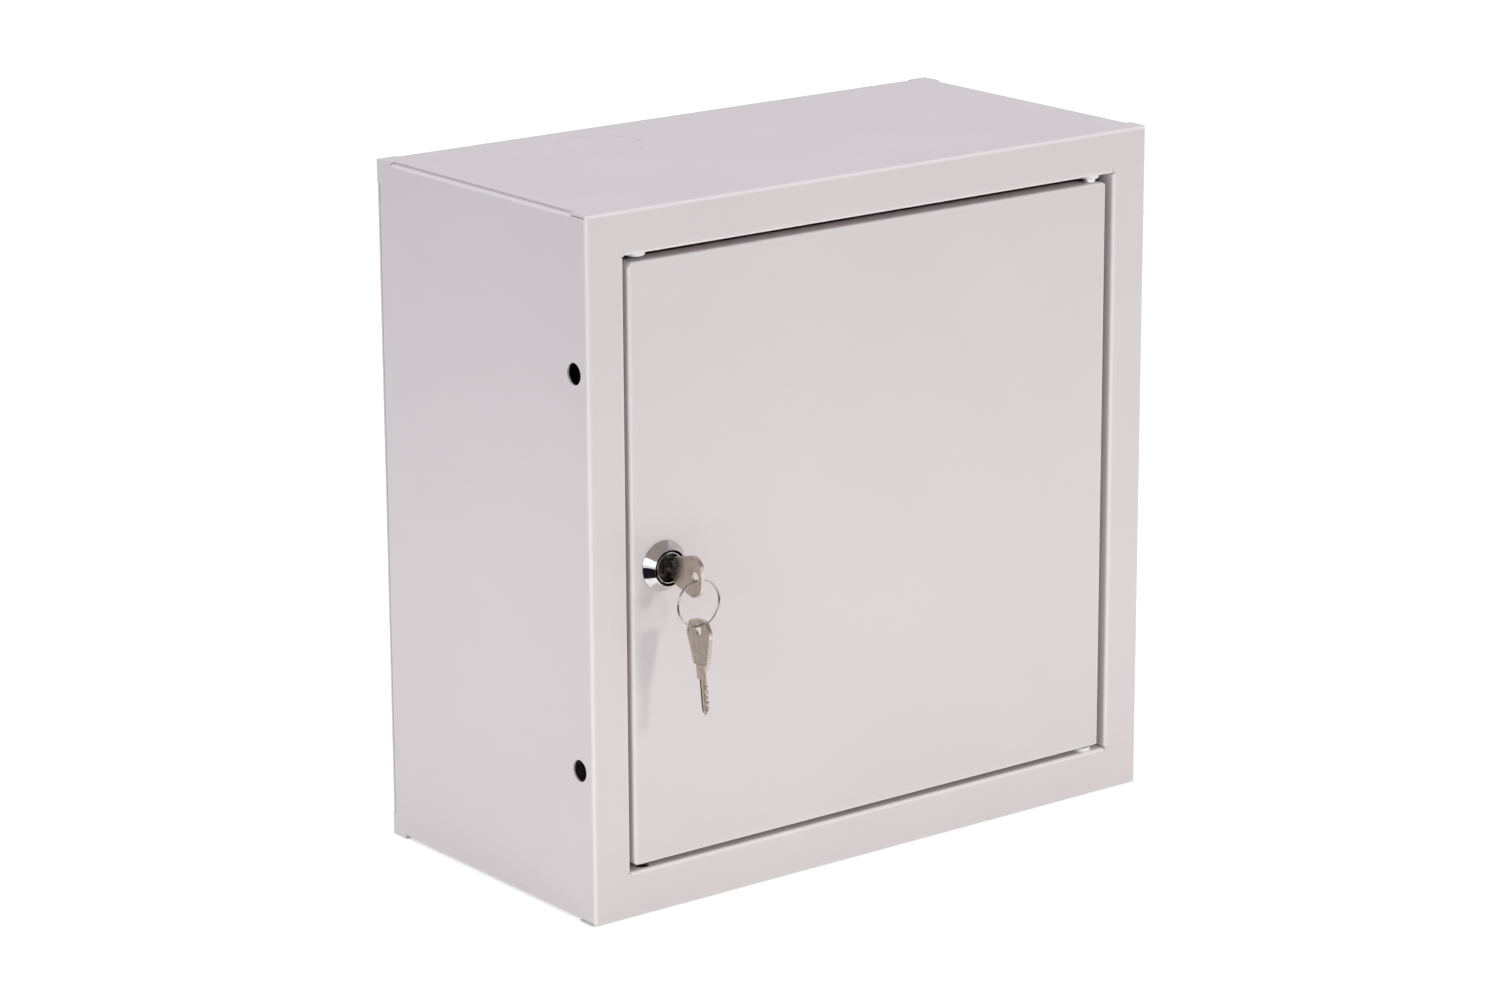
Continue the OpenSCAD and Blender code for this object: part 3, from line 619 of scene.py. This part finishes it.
def fromHole(drop):
    # the place of what hangs from the bow hole of the key in the lock
    return (shift(lock["x"], keyEnd + key["holeIn"], lock["z"] - drop)
            @ turn(ring["yaw"], "Z") @ shift(ring["shift"], 0, 0))


def addRing():
    shape = bmesh.new()
    section = addHoop(shape, ring["wire"], (ring["radius"], -ring["pitch"] / 2, 0), 20)
    bmesh.ops.rotate(shape, verts=section, cent=(0, 0, 0), matrix=turn(ring["start"], (0, -1, 0)).to_3x3())
    edge = shape.edges[:]
    full = 360 - ring["single"]
    for angle, rise in ((full, 0), (ring["single"], ring["pitch"]), (full - ring["ends"], 0)):
        steps = max(8, round(angle / 3))
        made = bmesh.ops.spin(shape, geom=edge, cent=(0, 0, 0), axis=(0, -1, 0), dvec=(0, rise / steps, 0),
                              angle=math.radians(angle), steps=steps)["geom_last"]
        edge = [item for item in made if isinstance(item, bmesh.types.BMEdge)]
    bmesh.ops.remove_doubles(shape, verts=shape.verts, dist=0.0005)
    bmesh.ops.holes_fill(shape, edges=[item for item in shape.edges if item.is_boundary], sides=0)
    bmesh.ops.recalc_face_normals(shape, faces=shape.faces)
    softened(shape, sharpEdges(shape, 60), 0.15)
    addPiece("split_ring", shape, fromHole(ringDrop), "key_ring", "ring_steel", ["key_ring"])


keyPlace = shift(lock["x"], keyEnd, lock["z"]) @ turn(90, "Y")
sparePlace = (fromHole(ringDrop + ring["radius"]) @ turn(ring["lean"], "X")
              @ shift(0, 0, key["holeIn"] - ring["drop"]) @ turn(-90, "X") @ turn(90, "Y"))
addKey("milled_key", keyPlace, "key", "key_in_lock")
addKey("milled_spare_key", sparePlace, "spare_key", "spare_key")
addRing()
print("keys and ring made")


# Studs with cut threads

studs = {
    "plate_studs": {"body": "cabinet", "size": 8.0, "length": 31.0, "pitch": 1.25,
                    "places": [outwards(x, -1.2, z) for x in (-145, 145) for z in (-145, 145)]},
    "body_earth_stud": {"body": "cabinet", "size": 6.0, "length": 16.0, "pitch": 1.0,
                        "places": [outwards(0, -1.2, -177)]},
    "door_earth_stud": {"body": "door", "size": 6.0, "length": 16.0, "pitch": 1.0,
                        "places": [shift(140, -198.3, -140.6) @ turn(-90, "X")]},
}


def threadedStud(size, length, pitch):
    radius, root = size / 2, size / 2 - 0.6 * pitch
    profile = [(0, 0), (radius + 1, 0), (radius + 1, 0.6), (radius + 0.8, 0.8), (radius, 0.8), (radius, 1.4)]
    height = 1.6
    while height + pitch < length - size / 8:
        profile += [(root, height + pitch * 0.35), (root, height + pitch * 0.45),
                    (radius, height + pitch * 0.85), (radius, height + pitch * 0.95)]
        height += pitch
    profile += [(radius - size / 8, length), (0, length)]
    return turned(bmesh.new(), profile, 40, closed=False)


for node, stud in studs.items():
    whole = bmesh.new()
    for place in stud["places"]:
        one = threadedStud(stud["size"], stud["length"], stud["pitch"])
        bmesh.ops.transform(one, verts=one.verts,
                            matrix=Matrix.Scale(1000, 4) @ place @ Matrix.Scale(0.001, 4))
        joined(whole, one)
    addPiece("threaded_" + node, whole, Matrix.Identity(4), stud["body"], "zinc_plate", [node])
print("studs threaded")


# Studio: pale floor, soft lamps, and a dark card that only the polished metal sees

studio = {
    "floor": -0.2, "floorSize": 14.0, "floorGlow": 0.45,
    "card": {"size": (1.9, 1.0), "middle": (-1.27, -0.42), "lift": 0.004},
    "daylight": [(0.0, (0.06, 0.058, 0.054, 1)), (1.0, (0.88, 0.905, 1.02, 1))],
    "mirrored": [(0.0, (1, 1, 1, 1)), (0.22, (1, 1, 1, 1)), (0.42, (0.42, 0.38, 0.37, 1)),
                 (1.0, (0.36, 0.32, 0.31, 1))],
}
lamps = {
    "front softbox": {"place": (0.86, -2.64, 0.93), "target": (-0.1, -0.2, 0), "size": (0.32, 0.32),
                      "power": 16.2, "colour": (1.0, 0.97, 0.935), "mirrored": False},
    "top softbox": {"place": (0, 0.1, 2.5), "target": (0, -0.05, 0), "size": (1.0, 1.0),
                    "power": 12.5, "colour": (0.97, 0.98, 1.0), "mirrored": False},
    "left softbox": {"place": (-2.15, -0.9, 0.6), "target": (-0.1, -0.15, 0), "size": (1.4, 0.9),
                     "power": 6.7, "colour": (0.97, 0.99, 1.0), "mirrored": True},
    "back softbox": {"place": (1.7, 2.2, -0.05), "target": (0.1, 0, -0.05), "size": (1.4, 0.2),
                     "power": 3.0, "colour": (1.0, 1.0, 1.0), "mirrored": True},
    "front bounce": {"place": (0.0, -0.56, -0.18), "target": (0, -0.2, 0), "size": (0.9, 0.16),
                     "power": 0.66, "colour": (1.0, 0.99, 0.98), "mirrored": False},
    "left bounce": {"place": (-0.56, -0.1, -0.18), "target": (-0.2, -0.1, 0), "size": (0.5, 0.16),
                    "power": 0.6, "colour": (0.97, 0.98, 1.0), "mirrored": False},
}


def addSheet(name, size, place, shade):
    made = bmesh.new()
    bmesh.ops.create_grid(made, x_segments=1, y_segments=1, size=0.5)
    bmesh.ops.scale(made, verts=made.verts, vec=(*size, 1))
    bmesh.ops.translate(made, verts=made.verts, vec=place)
    mesh = bpy.data.meshes.new(name)
    made.to_mesh(mesh)
    made.free()
    sheet = bpy.data.objects.new(name, mesh)
    bpy.context.scene.collection.objects.link(sheet)
    mesh.materials.append(shade)
    return sheet


def addFloor():
    finish = Finish("floor")
    finish.shade(Base_Color=(0.88, 0.88, 0.88, 1), Roughness=0.9, Specular_IOR_Level=0.0,
                 Emission_Color=(1, 1, 1, 1), Emission_Strength=finish.shown() * studio["floorGlow"])
    addSheet("floor", (studio["floorSize"],) * 2, (0, 0, studio["floor"] - 0.0002), finish.material)


def addDarkCard():
    finish = Finish("dark card")
    finish.shade(Base_Color=(0.01, 0.01, 0.012, 1), Roughness=0.8, Specular_IOR_Level=0.0)
    card = studio["card"]
    place = (*card["middle"], studio["floor"] + card["lift"])
    sheet = addSheet("dark card", card["size"], place, finish.material)
    sheet.visible_camera = sheet.visible_diffuse = sheet.visible_shadow = sheet.visible_transmission = False


def addWorld():
    world = bpy.data.worlds.new("studio")
    bpy.context.scene.world = world
    world.use_nodes = True
    shader = Shader(world.node_tree)
    facing = shader.node("ShaderNodeTexCoord", output="Generated")
    rise = shader.node("ShaderNodeSeparateXYZ", {}, {"Vector": facing}, output="Z")
    mirrored = shader.node("ShaderNodeValToRGB", {"stops": studio["mirrored"]}, {"Fac": rise})
    daylight = shader.node("ShaderNodeValToRGB", {"stops": studio["daylight"]}, {"Fac": rise})
    glossy = shader.node("ShaderNodeLightPath", output="Is Glossy Ray")
    camera = shader.node("ShaderNodeLightPath", output="Is Camera Ray")
    colour = shader.mix(camera, shader.mix(glossy, daylight, mirrored), (1, 1, 1, 1))
    shader.fill(world.node_tree.nodes["Background"], {"Color": colour})


def addLamp(name, place, target, size, power, colour, mirrored):
    lamp = bpy.data.objects.new(name, bpy.data.lights.new(name, "AREA"))
    bpy.context.scene.collection.objects.link(lamp)
    lamp.data.shape = "RECTANGLE"
    lamp.data.size, lamp.data.size_y = size
    lamp.data.energy = power
    lamp.data.color = colour
    lamp.visible_camera = False
    lamp.visible_glossy = mirrored
    lamp.location = place
    lamp.rotation_euler = (Vector(target) - Vector(place)).to_track_quat("-Z", "Y").to_euler()


addFloor()
addDarkCard()
addWorld()
for lampName, settings in lamps.items():
    addLamp(lampName, **settings)
bpy.context.scene.view_settings.view_transform = "Standard"
print("studio lit")
